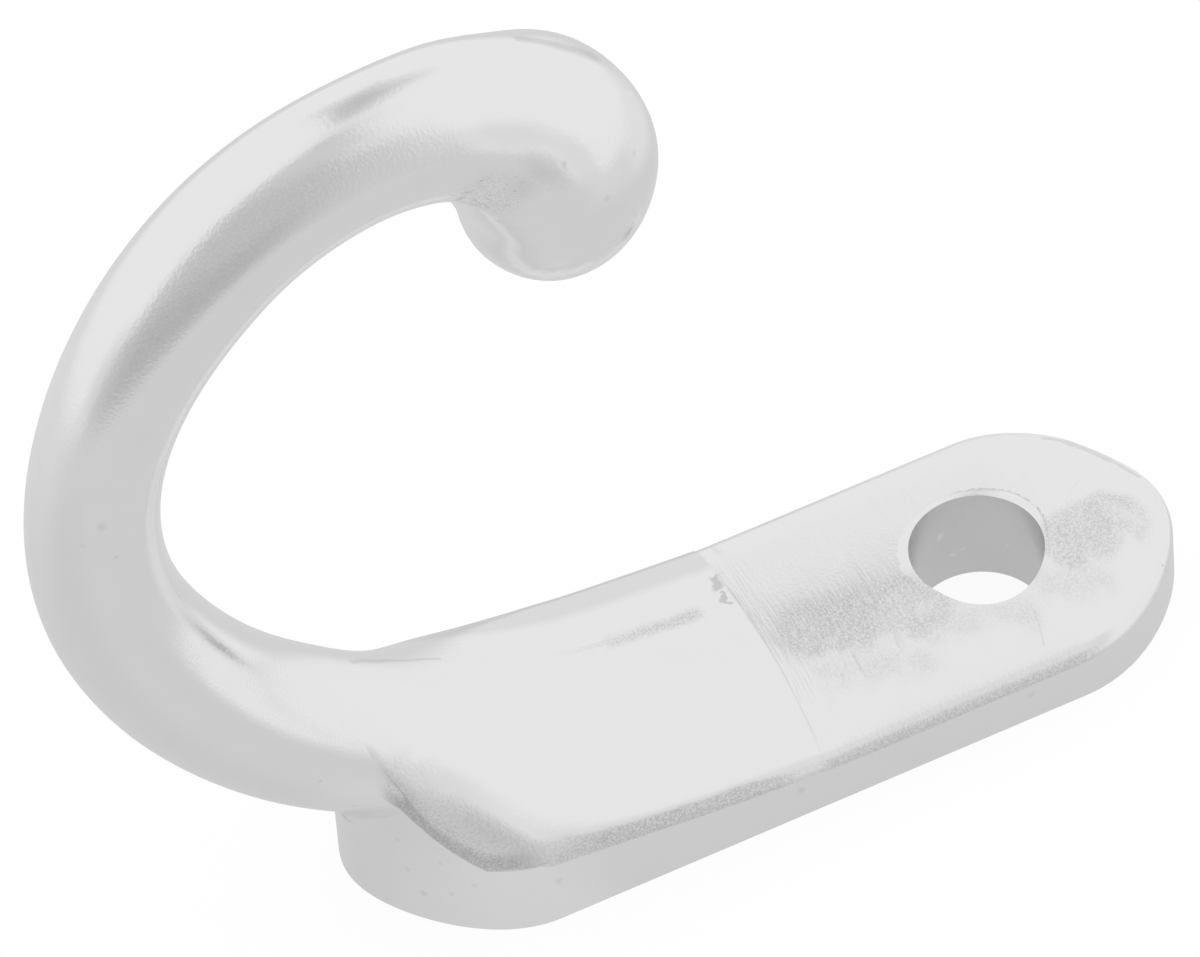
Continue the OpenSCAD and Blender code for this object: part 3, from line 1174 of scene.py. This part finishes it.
    def step_line(self, s: Surface) -> Value:
        """The scratched line of the step."""
        off = s.x - self.step_x - self.wander.make(s.graph, s.mm) * 0.25
        return off.size().ramp(0.08, 0.02) * s.rise.ramp(0.3, 0.6)

    def make(self) -> Material:
        """Build the material."""
        material, graph = new_material("plated_metal")
        s = Surface(graph, self.cloud)
        speck, grain = self.speck.make(graph, s.mm), self.grain.make(graph, s.mm)
        lines, deep_lines = self.lines.make(graph, s.mm), self.deep_lines.make(graph, s.mm)
        wobble, bumps = self.wobble.make(graph, s.mm), self.bumps.make(graph, s.mm)
        rings, glints = self.rings.make(graph, s.mm), self.glints.make(graph, s.mm)

        band, belt, gritty = self.shoulder.mask(s), self.linished(s), self.gritty(s)
        pits, step = any_of([pit.mask(s) for pit in self.pits]), self.step_line(s)
        hairs = drawn(self.hairs, s.x, s.y) * s.z.ramp(1.5, 2.0)
        nicks = drawn(self.step_nicks, s.x + wobble * 0.6, s.y + wobble)
        crease = self.knob_crease.mask(s)
        # The hole's wall: rougher and ringed for real; its colour is painted shade, with painted
        # glints where it stays bright.
        bore = ((s.x * s.x + s.y * s.y) ** 0.5).ramp(*self.bore_edge)
        bore = bore * s.rise.size().ramp(0.4, 0.2)
        # Painted reflection: faces turned towards the open side round the camera are darkened;
        # they also get a little more grain.
        lean = graph.vectors("DOT_PRODUCT", s.normal, self.reflection_facing_way).outputs["Value"]
        facing_grit_and_reflection = Value(graph, lean).ramp(*self.reflection_facing_span)

        (base, flecks), (grit_base, grit_flecks) = self.shoulder_reflection_depth, self.grit_depth
        # Painted reflection: the shoulder band darkens the colour, most in its stripe just above
        # the crease.
        shade = band * self.shoulder.strength(s) * (speck * flecks + base)
        dark = [
            shade + self.shoulder.core(s) * band * self.reflection_core_depth,
            belt * deep_lines * self.lines_depth,
            gritty * (speck * grit_flecks + grit_base),
            self.soft_marks(s),
            pits * self.pit_depth,
            step * self.step_depth,
            # Painted shade in the hole, with painted glints.
            bore * glints * self.hole_shade_depth,
            # Painted shade in the knob's crease; its bumps further down are real.
            crease * speck * self.knob_crease_shade_depth,
            nicks * self.nick_depth,
            facing_grit_and_reflection * speck * self.facing_reflection_depth,
        ]
        shade = any_of(dark) + (s.cloud * self.cloud_depth).at_least(0.0)
        rough = s.cloud * self.cloud_rough + self.roughness + gritty * self.grit_rough
        rough += band * self.shoulder_rough + bore * self.bore_rough

        height = grain * (self.grain_height + (band + gritty + facing_grit_and_reflection * 0.5) * self.grit_height)
        height += belt * (lines * self.lines_height + deep_lines * self.deep_lines_height)
        height += pits * self.pit_height + hairs * self.hair_height + step * self.step_height
        height += bore * rings * self.rings_height
        height += bumps * (crease * self.crease_height + nicks * self.nick_height)
        bump = graph.node("ShaderNodeBump", None, {"Distance": MM, "Height": height})
        sockets = {
            "Base Color": graph.blend(shade, self.bright, self.dull),
            "Metallic": 1.0,
            "Roughness": rough,
            "Normal": bump.outputs[0],
        }
        shader = graph.node("ShaderNodeBsdfPrincipled", None, sockets)
        graph.node("ShaderNodeOutputMaterial", None, {"Surface": shader.outputs[0]})
        return material


# ---- the studio ----


@dataclass(frozen=True)
class Patch:
    """A soft-edged patch of the surroundings that is lighter or darker than the rest.

    Headings are degrees round from the front, positive to the right. Reach is degrees above
    the horizon for the sky, and millimetres from the middle of the object for the floor.
    """

    heading: float
    half_width: float
    side_blur: float
    low: float
    high: float
    end_blur: float
    change: float

    def mask(self, heading: Value, reach: Value) -> Value:
        """1 inside the patch, easing to 0 outside it.

        Args:
            heading: Degrees round from the front.
            reach: Degrees up, or millimetres out.

        Returns:
            The mask.
        """
        side = (heading - self.heading).size()
        side = side.ramp(self.half_width + self.side_blur, self.half_width - self.side_blur)
        start = reach.ramp(self.low - self.end_blur, self.low + self.end_blur)
        stop = reach.ramp(self.high + self.end_blur, self.high - self.end_blur)
        return side * start * stop


def surroundings(around: Sequence[Patch], heading: Value, reach: Value, plain: float) -> Value:
    """The plain tone with every patch worked into it.

    Args:
        around: The patches.
        heading: Degrees round from the front.
        reach: Degrees up, or millimetres out.
        plain: The tone outside the patches.

    Returns:
        The tone.
    """
    tone = around[0].mask(heading, reach) * (plain * around[0].change) + plain
    for patch in around[1:]:
        tone = tone * (patch.mask(heading, reach) * patch.change + 1.0)
    return tone


@dataclass(frozen=True)
class Studio:
    """A white tent, open and grey round the camera, over a pale floor.

    Only reflections see the patches. Spans of facing run from square on, 0, to edge on, 1.
    """

    floor_size: float = 4000.0
    floor_drop: float = 0.02
    floor_colour: float = 0.82
    backdrop_share: float = 0.86
    backdrop_glow: float = 1.06
    mirror_share: float = 0.80
    mirror_glow: float = 0.72
    sheen: float = 0.08
    sheen_from: Span = (0.66, 0.88)
    glaze_from: Span = (0.40, 0.53)
    sky_level: float = 0.91
    middle: Span = (-15.0, 0.0)
    sky: tuple[Patch, ...] = each(
        Patch,
        (-31.0, 46.0, 6.0, -90.0, 120.0, 1.0, -0.26),
        (-31.0, 34.0, 12.0, -30.0, 58.0, 10.0, -0.12),
        (-37.0, 31.0, 9.0, -30.0, 15.0, 6.0, -0.13), (-81.0, 10.0, 5.0, -30.0, 11.0, 6.0, -0.16),
        (30.0, 10.0, 4.0, -30.0, 22.0, 9.0, -0.13), (158.0, 9.0, 5.0, 49.0, 78.0, 4.0, -0.26),
        (172.0, 8.0, 5.0, 38.0, 80.0, 7.0, -0.24), (0.0, 190.0, 1.0, 82.0, 120.0, 8.0, -0.14),
        (6.0, 6.0, 4.0, 43.0, 64.0, 5.0, 0.20),
    )
    ground: tuple[Patch, ...] = each(
        Patch,
        (98.0, 28.0, 12.0, 50.0, 9000.0, 10.0, 0.22),
        (45.0, 20.0, 10.0, 45.0, 9000.0, 10.0, 0.10),
        (-130.0, 35.0, 15.0, 35.0, 9000.0, 20.0, 0.12),
        (-95.0, 35.0, 15.0, 0.0, 60.0, 20.0, -0.06), (-45.0, 35.0, 15.0, 0.0, 10.0, 2.0, 0.08),
    )
    glaze: Patch = Patch(70.0, 52.0, 12.0, 0.0, 42.0, 12.0, 0.85)

    def make_floor(self) -> None:
        """Lay the floor."""
        bm = bmesh.new()
        bmesh.ops.create_grid(bm, x_segments=1, y_segments=1, size=self.floor_size / 2)
        bmesh.ops.translate(bm, vec=(0, 0, -self.floor_drop), verts=bm.verts[:])
        floor = object_from(bm, "floor")
        material, graph = new_material("floor")
        x, y, _ = graph.split(graph.place())
        x, y = x - self.middle[0], y - self.middle[1]
        heading, reach = graph.heading(x, y), (x * x + y * y) ** 0.5
        mirrored = surroundings(self.ground, heading, reach, self.mirror_glow)
        path = graph.node("ShaderNodeLightPath").outputs
        seen = Value(graph, path["Is Camera Ray"])
        glossy = Value(graph, path["Is Glossy Ray"])
        strength = seen * self.backdrop_glow + glossy * mirrored
        share = seen * self.backdrop_share + glossy * self.mirror_share
        paint = graph.grey_shader("ShaderNodeBsdfDiffuse", self.floor_colour)
        glow = graph.grey_shader("ShaderNodeEmission", 1.0, Strength=strength)
        polish = graph.grey_shader("ShaderNodeBsdfAnisotropic", 1.0, Roughness=self.sheen)
        facing = Value(graph, graph.node("ShaderNodeLayerWeight").outputs["Facing"])
        glaze = self.glaze.mask(heading, reach) * facing.ramp(*self.glaze_from)
        glaze = glaze.at_least(facing.ramp(*self.sheen_from)) * glossy
        shader = graph.mix_shaders(glaze, graph.mix_shaders(share, paint, glow), polish)
        graph.node("ShaderNodeOutputMaterial", None, {"Surface": shader.outputs[0]})
        floor.data.materials.append(material)

    def make_world(self) -> None:
        """Light the scene from all round."""
        world = bpy.data.worlds.new("studio")
        world.use_nodes = True
        bpy.context.scene.world = world
        graph = Graph(world.node_tree)
        x, y, z = graph.split(graph.node("ShaderNodeTexCoord").outputs["Generated"])
        height = graph.math("ARCSINE", z) * degrees(1.0)
        tone = surroundings(self.sky, graph.heading(x, y), height, self.sky_level)
        seen = Value(graph, graph.node("ShaderNodeLightPath").outputs["Is Camera Ray"])
        strength = seen + (1.0 - seen) * tone
        sky = graph.grey_shader("ShaderNodeBackground", 1.0, Strength=strength)
        graph.node("ShaderNodeOutputWorld", None, {"Surface": sky.outputs[0]})
        # The sky is nearly even, so the light from it needs no map to be sampled by.
        world.cycles.sampling_method = "NONE"


@dataclass(frozen=True)
class Camera:
    """A long lens that looks down at the near side from the left.

    Angles are in degrees and lengths in millimetres. The scale is in dots of the image per
    millimetre, and the slide is how far the image's middle lies from the hole.
    """

    azimuth: float = -23.087
    elevation: float = 48.964
    roll: float = -4.795
    distance: float = 479.952
    scale: float = 30.26
    image_width: float = 1200.0
    sensor: float = 36.0
    slide: Span = (12.58, -4.789)

    def make(self) -> None:
        """Place the camera and make it the scene's own."""
        a, e, r = (radians(v) for v in (self.azimuth, self.elevation, self.roll))
        view = Vector((sin(a) * cos(e), -cos(a) * cos(e), sin(e)))
        level = Vector((0, 0, 1)).cross(view).normalized()
        rise = view.cross(level)
        right = cos(r) * level + sin(r) * rise
        up = cos(r) * rise - sin(r) * level
        spot = -self.slide[0] * right - self.slide[1] * up + self.distance * view
        data = bpy.data.cameras.new("camera")
        data.sensor_width = self.sensor
        data.lens = self.sensor * self.scale * self.distance / self.image_width
        data.clip_start, data.clip_end = 0.01, 50.0
        camera = bpy.data.objects.new("camera", data)
        turn = Matrix((right, up, view)).transposed().to_4x4()
        camera.matrix_world = Matrix.Translation(spot * MM) @ turn
        bpy.context.scene.collection.objects.link(camera)
        bpy.context.scene.camera = camera


# ---- putting it together ----


def main() -> None:
    """Build the hook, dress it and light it."""
    logging.basicConfig(level=logging.INFO)
    casting = CastingMesh()
    hook = object_from(casting.build_body(), "cast_hook")
    drill(hook, object_from(casting.build_drill(), "screw_hole_drill"))
    sharpen(hook)
    hook.data.materials.clear()
    hook.data.materials.append(PlatedMetal().make())
    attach(hook, BODY)
    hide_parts(NODE)
    log.info("cast_hook: %d faces", len(hook.data.polygons))
    studio = Studio()
    studio.make_floor()
    studio.make_world()
    Camera().make()
    bpy.context.scene.view_settings.view_transform = "Standard"


if __name__ == "__main__":
    main()
